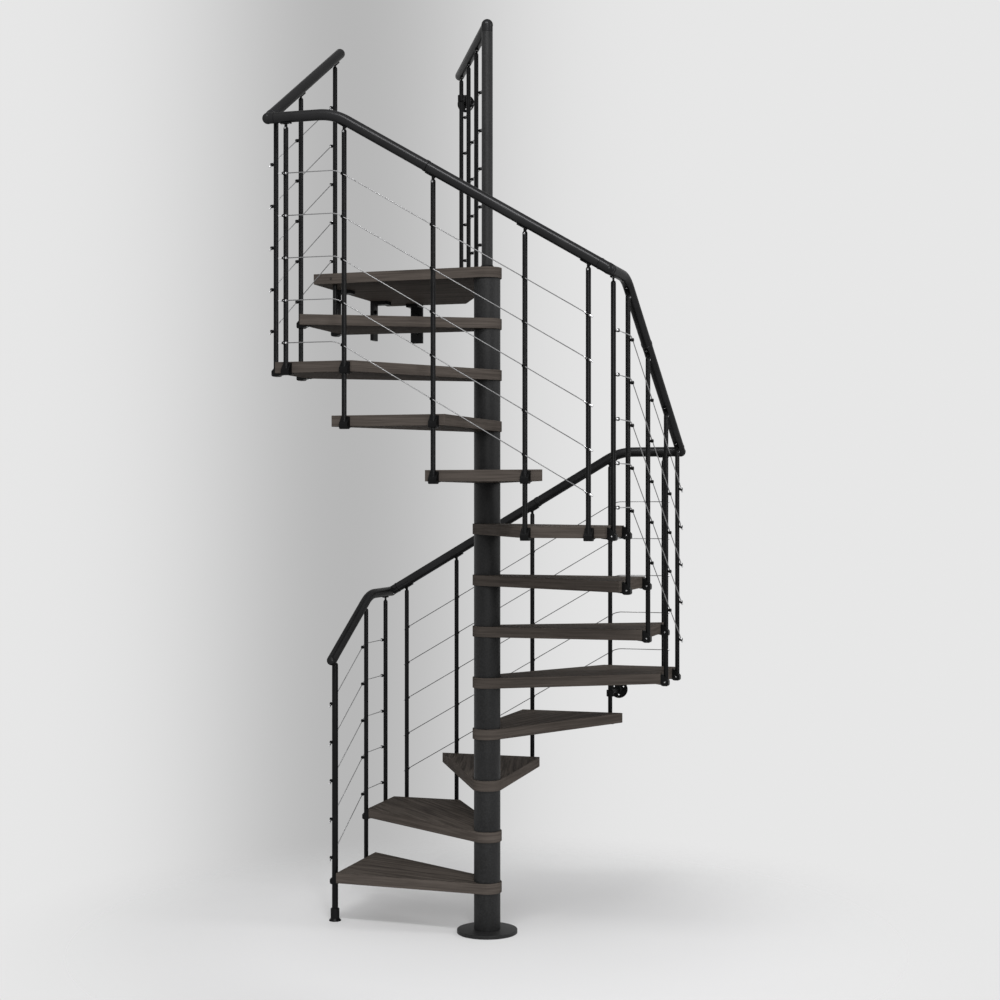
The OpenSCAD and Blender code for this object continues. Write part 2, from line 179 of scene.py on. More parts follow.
def side_frame(side):
    """Side coordinates to the row frame."""
    return (Matrix.Translation((0, 0, (3 * side - 1) * RISE))
            @ Matrix.Rotation(radians(-90 * (side - 1)), 4, "Z")
            @ Matrix.Translation((0, LINE_HALF, 0)))


def rail_bend_x():
    return 3 * sizes().inner_step - LINE_HALF


def rail_z(x):
    return 2 * RISE + sizes().rail_h + slope() * min(x, rail_bend_x())


def cable_bend_x():
    return sizes().inner_step + 25 * MM


def cable_z(x):
    s = sizes()
    return 2 * RISE + s.rail_h - s.cable_drop + slope() * min(x, cable_bend_x())


def guard_frame(distance=0.0, height=0.0):
    """Guard coordinates, x along the guard from the column, to the row frame."""
    return moved(Matrix.Rotation(sizes().guard_angle, 4, "Z"), distance, 0, height)


def guard_places():
    s = sizes()
    return [s.guard_first + i * s.guard_step for i in range(GUARD_COUNT)]


def moved(place, x=0.0, y=0.0, z=0.0):
    """A frame moved along its own axes."""
    return place @ Matrix.Translation((x, y, z))


def turns(count):
    """The angles of equal steps round a circle."""
    return [2 * pi * k / count for k in range(count)]


def facing(direction, at=(0, 0, 0)):
    """A frame at a point, with its z axis in that direction."""
    turn = Vector(direction).to_track_quat("Z", "Y").to_matrix().to_4x4()
    return Matrix.Translation(at) @ turn


# Steps of each rounded corner.
ROUND_STEPS = 4


def rounded(corners):
    """A profile in metres through corners in mm, each (radius, height) with its own rounding."""
    profile = []
    for i, corner in enumerate(corners):
        here = Vector(corner[:2])
        fillet = (*corner, 0)[2]
        if not fillet:
            profile.append(here * MM)
            continue
        back = (Vector(corners[i - 1][:2]) - here).normalized()
        ahead = (Vector(corners[i + 1][:2]) - here).normalized()
        half = back.angle(ahead) / 2
        run = fillet / tan(half)
        centre = here + (back + ahead).normalized() * fillet / sin(half)
        start, end = here + back * run - centre, here + ahead * run - centre
        turn = start.angle_signed(end)
        for k in range(ROUND_STEPS + 1):
            a = -turn * k / ROUND_STEPS
            profile.append((centre + Matrix.Rotation(a, 2) @ start) * MM)
    return [tuple(p) for p in profile]


def disc(radius, bottom, top):
    """The profile of a plain disc."""
    return [(0, bottom), (radius, bottom), (radius, top), (0, top)]


# Angles of a half ball's rings, from its rim to the last before its pole.
HALF_BALL = [pi / 12 * k for k in range(6)]


def dome(radius, top):
    """The last points of a profile: a half ball on a rod that ends at top."""
    return [(radius * cos(a), top + radius * sin(a)) for a in HALF_BALL] + [(0, top + radius)]


# Edges past this angle in degrees stay sharp, and get a bevel where a piece has one.
SHARP = 38


class Shell:
    """The mesh of one piece while it is gathered, in metres in the row frame."""

    def __init__(self):
        self.points = []
        self.faces = []
        self.runs = []

    def ring(self, place, points):
        first = len(self.points)
        self.points += [place @ Vector(p) for p in points]
        return list(range(first, len(self.points)))

    def join(self, lower, upper, lower_run=0.0, upper_run=0.0):
        """Faces between two rings. A ring of one point closes the shell."""
        count = max(len(lower), len(upper))
        for k in range(count):
            corners = [(lower, k, lower_run), (lower, k + 1, lower_run),
                       (upper, k + 1, upper_run), (upper, k, upper_run)]
            face = {}
            for ring, place, run in corners:
                face.setdefault(ring[place % len(ring)], (place / count, run))
            self.faces.append(list(face))
            self.runs.append(list(face.values()))

    def lathe(self, place, profile, sides, closed=False):
        """A turned shape round the frame's z axis."""
        rings = []
        for radius, height in profile:
            count = sides if radius > MM / 1000 else 1
            rings.append(self.ring(place, [
                (radius * cos(a), radius * sin(a), height) for a in turns(count)]))
        for lower, upper in zip(rings, rings[1:]):
            self.join(lower, upper)
        if closed:
            self.join(rings[-1], rings[0])

    def turned(self, place, corners, sides, closed=False):
        """A turned shape from corners in mm, as rounded takes them."""
        self.lathe(place, rounded(corners), sides, closed)

    def sweep(self, place, stations, sides):
        """A tube in the frame's x-z plane through stations (x, z, angle, radius)."""
        rings, runs = [], [0.0]
        for (x0, z0, *_), (x1, z1, *_) in zip(stations, stations[1:]):
            runs.append(runs[-1] + hypot(x1 - x0, z1 - z0))
        for x, z, angle, radius in stations:
            at = moved(place, x, 0, z) @ Matrix.Rotation(-angle, 4, "Y")
            rings.append(self.ring(at, [
                (0, -radius * sin(a), radius * cos(a)) for a in turns(sides)]))
        caps = [self.ring(place, [(x, 0, z)]) for x, z, *_ in (stations[0], stations[-1])]
        rings = [caps[0]] + rings + [caps[1]]
        runs = [0.0] + runs + [runs[-1]]
        for i in range(len(rings) - 1):
            self.join(rings[i], rings[i + 1], runs[i], runs[i + 1])

    def slab(self, place, outline, height, holes=()):
        """A flat plate on the frame's x-y plane, with an outline and holes in mm."""
        loops = [outline] + [hole[::-1] for hole in holes]
        flat = [Vector((x * MM, y * MM, 0)) for loop in loops for x, y in loop]
        bottom = self.ring(place, flat)
        top = self.ring(place, [p + Vector((0, 0, height)) for p in flat])
        corners = [[Vector((x, y, 0)) for x, y in loop] for loop in loops]
        for a, b, c in tessellate_polygon(corners):
            if (flat[b] - flat[a]).cross(flat[c] - flat[a]).z < 0:
                a, b = b, a
            self.add([top[a], top[b], top[c]])
            self.add([bottom[b], bottom[a], bottom[c]])
        first = 0
        for loop in loops:
            for k in range(len(loop)):
                a, b = first + k, first + (k + 1) % len(loop)
                self.add([bottom[a], bottom[b], top[b], top[a]])
            first += len(loop)

    def add(self, face):
        self.faces.append(face)
        self.runs.append([(0.0, 0.0)] * len(face))

    def mesh(self, name):
        mesh = bpy.data.meshes.new(name)
        mesh.from_pydata(self.points, [], self.faces)
        layer = mesh.uv_layers.new(name="run")
        for polygon, runs in zip(mesh.polygons, self.runs):
            for loop, run in zip(polygon.loop_indices, runs):
                layer.data[loop].uv = run
        return mesh

    def piece(self, name, look, nodes=(), edge=0.0, sharp=SHARP):
        return dress(linked(name, self.mesh(name)), look, nodes, edge, sharp)


def linked(name, data):
    """A new object in the scene."""
    made = bpy.data.objects.new(name, data)
    bpy.context.scene.collection.objects.link(made)
    return made


def dress(piece, look, nodes=(), edge=0.0, sharp=SHARP):
    """Give a piece its finish and edges, and tie it to the frame."""
    mesh = piece.data
    mesh.materials.clear()
    mesh.materials.append(finish(look))
    mesh.shade_smooth()
    mesh.set_sharp_from_angle(angle=radians(sharp))
    if edge:
        bevel = piece.modifiers.new("edges", "BEVEL")
        bevel.width = edge
        bevel.segments = 3
        bevel.limit_method = "ANGLE"
        bevel.angle_limit = radians(sharp)
        bevel.harden_normals = True
    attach(piece, "root")
    if nodes:
        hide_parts(*nodes)
    return piece


def copied(name, node, aim, look, edge):
    """A copy of a CAD node with rounded edges, and with its grain laid along the angle aim."""
    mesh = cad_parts[node].data.copy()
    mesh.name = name
    work = bmesh.new()
    work.from_mesh(mesh)
    bmesh.ops.remove_doubles(work, verts=work.verts, dist=MM / 100)
    bmesh.ops.dissolve_limit(work, angle_limit=radians(1), verts=work.verts, edges=work.edges)
    for old in list(work.loops.layers.uv.values()):
        work.loops.layers.uv.remove(old)
    layer = work.loops.layers.uv.new("run")
    turn = Matrix.Rotation(-aim, 3, "Z")
    for face in work.faces:
        for loop in face.loops:
            loop[layer].uv = (turn @ loop.vert.co).xy
    work.to_mesh(mesh)
    work.free()
    return dress(linked(name, mesh), look, [node], edge)


# Finishes.

class Wire:
    """A shader socket of one material. Sums on it add the Math nodes that work them out."""

    def __init__(self, tree, socket=None):
        self.tree = tree
        self.socket = socket

    def put(self, target, value):
        if isinstance(value, Wire):
            self.tree.links.new(value.socket, target)
        else:
            target.default_value = value

    def node(self, kind, settings=(), sockets=(), output=0):
        """A new node of a type, with its settings first and then its sockets' values or links."""
        made = self.tree.nodes.new(kind)
        for name, value in dict(settings).items():
            setattr(made, name, value)
        for name, value in dict(sockets).items():
            self.put(made.inputs[name], value)
        return Wire(self.tree, made.outputs[output])

    def math(self, operation, *values):
        return self.node("ShaderNodeMath", {"operation": operation}, dict(enumerate(values)))

    def __add__(self, other):
        return self.math("ADD", self, other)

    def __sub__(self, other):
        return self.math("SUBTRACT", self, other)

    def __rsub__(self, other):
        return self.math("SUBTRACT", other, self)

    def __mul__(self, other):
        return self.math("MULTIPLY", self, other)

    def __gt__(self, other):
        return self.math("GREATER_THAN", self, other)

    __radd__ = __add__
    __rmul__ = __mul__

    def axis(self, index):
        """One number of a vector."""
        return self.node("ShaderNodeSeparateXYZ", {}, {0: self}, index)

    def stretched(self, x, y, z):
        """A vector stretched along its axes."""
        return self.node("ShaderNodeVectorMath", {"operation": "MULTIPLY"}, {0: self, 1: (x, y, z)})

    def noise(self, scale, detail=2.0, roughness=0.5):
        return self.node("ShaderNodeTexNoise", {}, {
            "Vector": self, "Scale": scale, "Detail": detail, "Roughness": roughness})

    def ramp(self, start, end):
        """0 below start and 1 above end."""
        return self.node("ShaderNodeMapRange", {"interpolation_type": "SMOOTHSTEP"},
                         {"Value": self, "From Min": start, "From Max": end})

    def mixed(self, first, second):
        """This share of the second colour or vector over the first."""
        return self.node("ShaderNodeMix", {"data_type": "RGBA"}, {0: self, 6: first, 7: second}, 2)

    def shades(self, value, start, end):
        """From one share of a colour property at 0 to another share at 1."""
        return self.mixed(shaded(value, start), shaded(value, end))

    def bumped(self, strength, distance):
        return self.node("ShaderNodeBump", {}, {
            "Height": self, "Strength": strength, "Distance": distance})


# Outputs of Blender's input nodes, by their place in the node.
OBJECT_PLACE = 3
WORLD_DIRECTION = 0
TRUE_NORMAL = 1
CAMERA_RAY, MIRROR_RAY, THROUGH_RAY = 0, 3, 6


class Finish:
    """A material with a Principled shader, filled in through its wires."""

    def __init__(self, name, **constants):
        self.material = bpy.data.materials.new(name)
        self.material.use_nodes = True
        self.shader = self.material.node_tree.nodes["Principled BSDF"]
        self.wire = Wire(self.material.node_tree)
        self.set(**constants)

    def set(self, **values):
        for name, value in values.items():
            self.wire.put(self.shader.inputs[name.replace("_", " ")], value)

    def place(self):
        """Position on the piece, in metres."""
        return self.wire.node("ShaderNodeTexCoord", output=OBJECT_PLACE)

    def run(self):
        """The piece's own flat coordinates: along a board, or round and along a tube."""
        return self.wire.node("ShaderNodeUVMap", {"uv_map": "run"})


def shaded(value, share=1.0):
    """A colour property times a share, as a shader's colour."""
    return (*[part * share for part in value], 1.0)


# A face of a board counts as flat when its normal's z is past this.
FLAT_FACE = 0.6


def wood_finish():
    """Dark oak decor: fine streaks along a tread, and bands of the same grain round its edges."""
    c = colours()
    finish = Finish("dark_wood", IOR=1.03)
    run = finish.run()
    place = finish.wire.node("ShaderNodeCombineXYZ", {}, {
        0: run.axis(0), 1: run.axis(1), 2: finish.place().axis(2)})
    up = finish.wire.node("ShaderNodeNewGeometry", output=TRUE_NORMAL).axis(2)
    flat = finish.wire.math("ABSOLUTE", up) > FLAT_FACE
    fine = place.stretched(5, 190, 7).noise(1.0, 3.0, 0.60)
    broad = place.stretched(2.2, 62, 3).noise(1.0, 3.0, 0.62)
    pores = place.stretched(34, 900, 38).noise(1.0)
    side_fine = place.stretched(7, 7, 300).noise(1.0, 3.0, 0.6)
    side_broad = place.stretched(2.8, 2.8, 95).noise(1.0)
    top_grain = fine.ramp(0.38, 0.62) * 0.5 + broad.ramp(0.40, 0.60) * 0.5
    side_grain = side_fine.ramp(0.36, 0.64) * 0.5 + side_broad.ramp(0.38, 0.62) * 0.5
    pitted = pores.ramp(0.60, 0.70) * 0.5
    top = top_grain.mixed(shaded(c.wood_dark), shaded(c.wood))
    top = pitted.mixed(top, shaded(c.wood_dark, 0.6))
    side = side_grain.shades(c.wood_edge, 0.60, 1.0)
    finish.set(
        Base_Color=flat.mixed(side, top),
        Roughness=0.50 + 0.14 * top_grain,
        Normal=(top_grain * 0.6 - pitted).bumped(0.35, 0.0004))
    return finish.material


def coat_finish():
    """Fine-textured powder coat."""
    finish = Finish("textured_coat", IOR=1.32)
    place = finish.place()
    peel = place.noise(150.0, 4.0, 0.7)
    cloud = place.noise(9.0)
    shade = peel.ramp(0.36, 0.66) * 0.75 + cloud.ramp(0.3, 0.7) * 0.25
    finish.set(
        Base_Color=shade.shades(colours().coat, 0.45, 1.60),
        Roughness=0.46 + 0.20 * peel,
        Normal=peel.bumped(0.8, 0.0008))
    return finish.material


def satin(name, skin_scale, skin_detail, cloud_scale, cloud_detail, cloud_roughness):
    """A satin paint that stays dark at a flat angle, and the cloud that varies its gloss."""
    finish = Finish(name, IOR=1.2, Metallic=0.6, Specular_Tint=(0.2, 0.2, 0.2, 1.0))
    place = finish.place()
    skin = place.noise(skin_scale, skin_detail, 0.5)
    cloud = place.noise(cloud_scale, cloud_detail, cloud_roughness)
    finish.set(Roughness=0.25 + 0.10 * cloud, Normal=skin.bumped(0.06, 0.0001))
    return finish, cloud


def black_finish():
    """Satin black paint on the balusters, studs and fixings."""
    finish, cloud = satin("satin_black", 420.0, 2.0, 14.0, 2.0, 0.5)
    finish.set(Base_Color=cloud.shades(colours().black, 0.7, 1.35))
    return finish.material


def graphite_finish():
    """Smooth graphite sleeve of the handrail."""
    finish, cloud = satin("graphite_rail", 260.0, 3.0, 6.0, 3.0, 0.55)
    finish.set(Base_Color=cloud.ramp(0.3, 0.7).shades(colours().graphite, 0.86, 1.14))
    return finish.material


# Strands in a cable, and strands met along each metre of it.
STRAND_COUNT = 8
STRAND_TURNS = 260


def cable_finish():
    """Stranded steel: the strands wind round the cable, each painted darker towards its edges as
    painted shade in the grooves between strands.
    """
    finish = Finish("steel_cable", Metallic=1.0)
    run = finish.run()
    winding = run.axis(0) * STRAND_COUNT + run.axis(1) * STRAND_TURNS
    strand = finish.wire.math("FRACT", winding)
    hump = finish.wire.math("PINGPONG", strand, 0.5) * 2
    # Base colour: painted shade, darker at each strand's edges where the grooves between strands
    # lie.
    finish.set(
        Base_Color=hump.ramp(0.0, 0.5).shades(colours().steel, 0.20, 0.42),
        Roughness=0.42 - 0.06 * hump,
        Normal=hump.bumped(0.12, 0.0002))
    return finish.material


def screw_finish():
    """Bright zinc of the screws, pins and ferrules."""
    finish = Finish("bright_screw", Metallic=1.0)
    cloud = finish.place().noise(300.0)
    finish.set(
        Base_Color=cloud.shades(colours().steel, 0.8, 1.1),
        Roughness=0.26 + 0.14 * cloud)
    return finish.material


# Each finish with the material slot that it belongs to.
FINISHES = {
    "wood": (wood_finish, "stair_wood"),
    "coat": (coat_finish, "black_steel"),
    "black": (black_finish, "black_steel"),
    "graphite": (graphite_finish, "rail_graphite"),
    "cable": (cable_finish, "cable_steel"),
    "screw": (screw_finish, "cable_steel"),
}


@cache
def finish(name):
    """A finish, made once."""
    return FINISHES[name][0]()


class STAIR_OT_base_plate(bpy.types.Operator):
    """Round base plate with a rounded rim"""
    bl_idname = "stair.base_plate"
    bl_label = "Base plate"

    def execute(self, context):
        rim = high("base_plate") / MM
        shell = Shell()
        shell.turned(Matrix(), [(0, 0), (rim.x, 0, 0.6), (rim.x, rim.z, 1.6), (0, rim.z)], 128)
        shell.piece("base_plate", "coat", ["base_plate"])
        return {"FINISHED"}


# Collar at the core post's foot, in mm: radius, thickness of its flange and height.
COLLAR_R, COLLAR_FLANGE, COLLAR_H = 30, 4, 12


class STAIR_OT_column(bpy.types.Operator):
    """Core post with its foot collar on the landing, and a sleeve between each two treads"""
    bl_idname = "stair.column"
    bl_label = "Column"

    def execute(self, context):
        base = high("base_plate").z
        shell = Shell()
        bore, outside, chamfer = CORE_R / MM, COLUMN_R / MM, 1.2
        for i in range(TREAD_COUNT + 1):
            bottom = (base if i == 0 else i * RISE) / MM
            top = ((i + 1) * RISE - TREAD_T) / MM
            shell.turned(Matrix(), [
                (bore, bottom), (outside, bottom, chamfer), (outside, top, chamfer), (bore, top)],
                96, closed=True)
        shell.piece("column_sleeves", "coat", ["column_sleeves"])
        core = Shell()
        top = high("core_post").z / MM
        core.turned(Matrix(), [
            (0, base / MM), (bore, base / MM), (bore, top, 0.8), (0, top)], 64)
        core.piece("core_post", "coat", ["core_post"])
        collar = Shell()
        floor = LANDING_Z / MM
        flange, top = floor + COLLAR_FLANGE, floor + COLLAR_H
        collar.turned(Matrix(), [
            (bore, floor), (COLLAR_R, floor, 0.5), (COLLAR_R, flange, 1.5), (bore + 1.5, top, 1),
            (bore, top)], 64, closed=True)
        collar.piece("core_collar", "black")
        return {"FINISHED"}


class STAIR_OT_treads(bpy.types.Operator):
    """The twelve treads, with rounded edges and grain along each one"""
    bl_idname = "stair.treads"
    bl_label = "Treads"

    def execute(self, context):
        for i in range(1, TREAD_COUNT + 1):
            node = f"tread_{i:02d}"
            aim = radians(FIRST_AIM - AIM_STEP * (i - 1))
            copied(node + "_board", node, aim, "wood", sizes().edge_round)
        return {"FINISHED"}


# Inner face of each bracket as x, y in mm, with the way it looks, and the heights of its two holes.
BRACKET_FACES = ((-778, 683, (1, 0, 0)), (-778, 217, (1, 0, 0)), (-637, 870, (0, -1, 0)))
BRACKET_HOLES = (2674.7, 2764.7)
BRACKET_EDGE = 1.5 * MM
SET_SCREW_AT = Vector((-711, -37, 2837)) * MM
SET_SCREW_WAY = (-0.0366, -0.9993, 0)


class STAIR_OT_landing(bpy.types.Operator):
    """The landing with its set screw and brackets"""
    bl_idname = "stair.landing"
    bl_label = "Landing"

    def execute(self, context):
        copied("landing_board", "landing", pi, "wood", sizes().edge_round)
        copied("landing_angles", "landing_brackets", 0.0, "black", BRACKET_EDGE)
        shell = Shell()
        shell.turned(facing(SET_SCREW_WAY, SET_SCREW_AT), [
            (0, -2), (5, -2), (5, 0.6, 0.5), (2.6, 0.6, 0.2), (2.6, -1.2), (0, -1.2)], 24)
        shell.piece("landing_set_screw", "black")
        anchors = Shell()
        for x, y, away in BRACKET_FACES:
            for z in BRACKET_HOLES:
                add_anchor(anchors, facing(away, Vector((x, y, z)) * MM))
        anchors.piece("bracket_anchors", "black")
        return {"FINISHED"}


def add_anchor(shell, place):
    """A hex bolt with a washer, through a bracket's hole."""
    shank, washer, head = 5.3, 10.5, 9
    shell.turned(place, [
        (0, -14), (shank, -14), (shank, 0), (washer, 0), (washer, 1.6, 0.4), (0, 1.6)], 32)
    shell.turned(place, [(0, 1.2), (head, 1.2), (head, 7.4), (head - 0.8, 8), (0, 8)], 6)


# Corners in mm of the start post's foot, and the height of the rod's end inside it.
SHOE_PROFILE = [(0, 0), (26.5, 0, 0.8), (26.5, 4, 1.6), (19.5, 12, 4), (19.5, 55, 2), (14, 55),
                (14, 52), (0, 52)]
START_ROD_Z = 12 * MM


class STAIR_OT_start_post(bpy.types.Operator):
    """The thick post at the foot of the stair, on its flared foot"""
    bl_idname = "stair.start_post"
    bl_label = "Start post"

    def execute(self, context):
        radius = sizes().start_d / 2
        shell = Shell()
        place = side_frame(0)
        bottom = START_ROD_Z - place.translation.z
        shell.lathe(place, [(0, bottom), (radius, bottom)] + dome(radius, post_top(0)), 40)
        add_studs(shell, place, 0.0, cable_z(0), sizes().cable_gap)
        shell.piece("start_post_rod", "black", ["start_post"])
        foot = Shell()
        foot.turned(Matrix.Translation((-LINE_HALF, 0, 0)), SHOE_PROFILE, 48)
        foot.piece("start_post_shoe", "black", ["start_post_foot"])
        return {"FINISHED"}


def post_top(x):
    """Top of a baluster's straight part, below the saddle's neck."""
    half_rail = sizes().rail_d / 2 * hypot(1, slope())
    return rail_z(x) - half_rail - SADDLE_NECK


# Corners in mm of a cable stud: a neck, a rounded head and a socket in its end.
STUD_PROFILE = [(0, 0), (5.4, 0), (5.4, 12.4, 0.6), (7.2, 13.6, 0.8), (7.2, 24, 2), (2.4, 24, 0.3),
                (2.4, 22), (0, 22)]


def add_studs(shell, place, x, top, gap, turn=1):
    """The cable studs of one post, from the top one down."""
    for i in range(sizes().cable_count):
        at = moved(place, x, 0, top - i * gap) @ facing((0, turn, 0))
        shell.turned(at, STUD_PROFILE, 24)


# The tread's top down to the foot of a baluster.
BALUSTER_DROP = 52 * MM


class STAIR_OT_balusters(bpy.types.Operator):
    """The balusters of the five sides with their cable studs"""
    bl_idname = "stair.balusters"
    bl_label = "Balusters"

    def execute(self, context):
        s = sizes()
        radius = s.baluster_d / 2
        for side, name in enumerate(SIDE_NAMES):
            shell = Shell()
            place = side_frame(side)
            for which in SIDE_BALUSTERS[side]:
                x = baluster_places()[which]
                bottom = BALUSTER_LEVELS[which][0] * RISE - BALUSTER_DROP
                foot = [(0, bottom), (radius - MM, bottom), (radius, bottom + MM)]
                shell.lathe(moved(place, x), foot + dome(radius, post_top(x)), 32)
                add_studs(shell, place, x, cable_z(x), s.cable_gap)
            node = "balusters_" + name
            shell.piece(node + "_rods", "black", [node])
        return {"FINISHED"}


def chamfered(stations, near=True, far=True):
    """Stations of a tube with its near end, its far end or both cut back to a fine chamfer."""
    cut = TUBE_CHAMFER
    x0, z0, a0, r0 = stations[0]
    x1, z1, a1, r1 = stations[-1]
    start = [(x0, z0, a0, r0 - cut), (x0 + cut * cos(a0), z0 + cut * sin(a0), a0, r0)]
    end = [(x1 - cut * cos(a1), z1 - cut * sin(a1), a1, r1), (x1, z1, a1, r1 - cut)]
    return (start if near else stations[:1]) + stations[1:-1] + (end if far else stations[-1:])


def bend(bend_x, level_z, bend_r, radius, steps=16):
    """Stations of the bend from the climb to the level."""
    pitch = atan(slope())
    centre_x = bend_x + bend_r * tan(pitch / 2)
    centre_z = level_z - bend_r
    angles = [pitch * (1 - k / steps) for k in range(steps + 1)]
    return [(centre_x - bend_r * sin(a), centre_z + bend_r * cos(a), a, radius) for a in angles]


def blunt_end(x, angle, radius, sign):
    """Stations of a half ball at the handrail's start, for sign -1, or at its end, for 1."""
    stations = []
    for a in HALF_BALL:
        run = sign * radius * sin(a)
        stations.append((x + run * cos(angle), rail_z(x) + run * sin(angle), angle, radius * cos(a)))
    return stations[::sign]


# The joint between a side's two tubes, and the open ends of the first and the last tube.
RAIL_JOINT_X = 20 * MM
RAIL_JOINT_W = 2 * MM
RAIL_JOINT_R = 21.2 * MM
RAIL_FIRST_X = -38 * MM
RAIL_LAST_X = 57 * MM
# Corners in mm of the collar over a joint.
COLLAR_PROFILE = [(20, 0), (23.6, 0, 1.2), (23.6, 13, 1.2), (20, 15)]


class STAIR_OT_handrails(bpy.types.Operator):
    """The handrail's tubes with their collars"""
    bl_idname = "stair.handrails"
    bl_label = "Handrails"

    def execute(self, context):
        s = sizes()
        pitch = atan(slope())
        radius = s.rail_d / 2
        climb = (cos(pitch), 0, sin(pitch))
        start = -LINE_HALF + (RISING_STUB + STUB_GAP) * cos(pitch)
        first = (start, rail_z(start), pitch, radius)
        level = rail_z(LINE_HALF)
        for side, name in enumerate(SIDE_NAMES):
            shell = Shell()
            place = side_frame(side)
            upper = bend(rail_bend_x(), level, s.rail_bend_r, radius)
            upper.append((LINE_HALF - ELBOW_STUB - STUB_GAP, level, 0.0, radius))
            if side in FULL_SIDES:
                joint = (RAIL_JOINT_X, rail_z(RAIL_JOINT_X), pitch, radius)
                shell.sweep(place, chamfered([first, joint]), 48)
                x = RAIL_JOINT_X + RAIL_JOINT_W * cos(pitch)
                shell.sweep(place, chamfered([(x, rail_z(x), pitch, radius)] + upper), 48)
                collar = moved(place, x, 0, rail_z(x))
                shell.turned(collar @ facing(climb), COLLAR_PROFILE, 48, closed=True)
            elif side == 0:
                blunt = blunt_end(RAIL_FIRST_X, pitch, radius, -1)
                shell.sweep(place, chamfered(blunt + upper, near=False), 48)
            else:
                blunt = blunt_end(RAIL_LAST_X, pitch, radius, 1)
                shell.sweep(place, chamfered([first] + blunt, far=False), 48)
            node = "handrail_" + name
            shell.piece(node + "_tube", "graphite", [node])
        rings = Shell()
        for side in FULL_SIDES:
            place = moved(side_frame(side), RAIL_JOINT_X, 0, rail_z(RAIL_JOINT_X))
            rings.lathe(place @ facing(climb), disc(RAIL_JOINT_R, -MM, RAIL_JOINT_W + MM), 48)
        rings.piece("rail_joint_rings", "black", ["rail_joints"])
        return {"FINISHED"}


# An elbow's set screws: their distance from its centre, and their radius in mm.
ELBOW_SCREW_AT = 17 * MM
ELBOW_SCREW_R = 2.6


class STAIR_OT_elbows(bpy.types.Operator):
    """The ball elbows at the corners, each with a set screw on both stubs"""
    bl_idname = "stair.elbows"
    bl_label = "Corner elbows"

    def execute(self, context):
        radius = sizes().rail_d / 2
        pitch = atan(slope())
        rise = Vector((0, -cos(pitch), sin(pitch)))
        shell, rings, screws = Shell(), Shell(), Shell()
        for side in range(4):
            place = moved(side_frame(side), LINE_HALF, 0, rail_z(LINE_HALF))
            shell.lathe(place, ball(radius + MM), 48)
            for way in (Vector((-1, 0, 0)), rise):
                stub, bead = (ELBOW_STUB, 0.5) if way.x else (RISING_STUB, 1.2)
                shell.turned(place @ facing(way), stub_profile(radius, stub, bead), 48)
                rings.lathe(place @ facing(way), disc(
                    radius - TUBE_CHAMFER, stub - MM, stub + STUB_GAP + MM), 48)
                inward = Vector((0, -1, -0.5) if way.x else (-1, -0.2, -0.3)).normalized()
                at = way * ELBOW_SCREW_AT + inward * radius
                add_screw(screws, place @ facing(inward, at), ELBOW_SCREW_R)
        shell.piece("corner_elbows", "graphite", ["rail_elbows"])
        rings.piece("elbow_joint_rings", "black")
        screws.piece("elbow_screws", "screw")
        return {"FINISHED"}


def stub_profile(radius, stub, bead):
    """Corners in mm of an elbow's stub, with a low bead at its end."""
    r, end = radius / MM, stub / MM
    return [(0, 0), (r, 0), (r, end - 7), (r + bead, end - 6), (r + bead, end - 0.6), (r, end),
            (0, end)]


def ball(radius, steps=24):
    """The profile of a whole ball."""
    angles = [pi * (k / steps - 0.5) for k in range(steps + 1)]
    return [(radius * cos(a), radius * sin(a)) for a in angles]


def add_screw(shell, place, radius):
    """A small screw head with a socket."""
    shell.turned(place, [
        (0, -1.5), (radius, -1.5), (radius, 0.5, 0.4), (radius * 0.5, 0.5, 0.1),
        (radius * 0.5, -0.6), (0, -0.6)], 20)


# The guard's posts go down into the landing, and its rail goes on past its last post.
GUARD_POST_DROP = 25 * MM
GUARD_OVERHANG = 80 * MM


class STAIR_OT_guard(bpy.types.Operator):
    """The landing guard: posts, rail and the elbow on the core post"""
    bl_idname = "stair.guard"
    bl_label = "Landing guard"

    def execute(self, context):
        s = sizes()
        radius = s.baluster_d / 2
        half_rail = s.rail_d / 2
        floor = LANDING_Z / MM
        posts = Shell()
        for distance in guard_places():
            place = guard_frame(distance)
            bottom = LANDING_Z - GUARD_POST_DROP
            top = GUARD_Z - half_rail - SADDLE_NECK
            posts.lathe(place, [(0, bottom), (radius, bottom)] + dome(radius, top), 32)
            add_studs(posts, place, 0.0, GUARD_Z - s.guard_cable_drop, s.guard_cable_gap, -1)
            posts.turned(place, [
                (10, floor), (14, floor, 0.4), (14, floor + 2.4, 1), (10, floor + 2.4)],
                32, closed=True)
        posts.piece("guard_post_rods", "black", ["guard_posts"])
        rail = Shell()
        place = guard_frame(0.0, GUARD_Z)
        end = guard_places()[-1] + GUARD_OVERHANG - half_rail
        start = [(0, ELBOW_STUB), (half_rail - TUBE_CHAMFER, ELBOW_STUB),
                 (half_rail, ELBOW_STUB + TUBE_CHAMFER)]
        rail.lathe(place @ facing((1, 0, 0)), start + dome(half_rail, end), 48)
        rail.piece("guard_rail_tube", "graphite", ["guard_rail"])
        elbow = Shell()
        elbow.lathe(place, ball(CORE_R + MM), 48)
        for way, stub_r in (((1, 0, 0), half_rail), ((0, 0, -1), CORE_R)):
            elbow.lathe(place @ facing(way), [
                (0, 0), (stub_r, 0), (stub_r, ELBOW_STUB - TUBE_CHAMFER),
                (stub_r - TUBE_CHAMFER, ELBOW_STUB), (0, ELBOW_STUB)], 48)
        elbow.piece("guard_rail_elbow", "graphite", ["guard_elbow"])
        return {"FINISHED"}


# A cable's end past its last stud, the step from there to the ferrule before that stud (a bright
# sleeve that sits on the stud's head and is partly a painted highlight there), the radius of a
# cable's bend, and a guard cable's start inside the core post.
CABLE_TAIL = 15 * MM
SLEEVE_AND_HIGHLIGHT_STEP = 20 * MM
CABLE_BEND_R = 100 * MM
GUARD_CABLE_X = 10 * MM


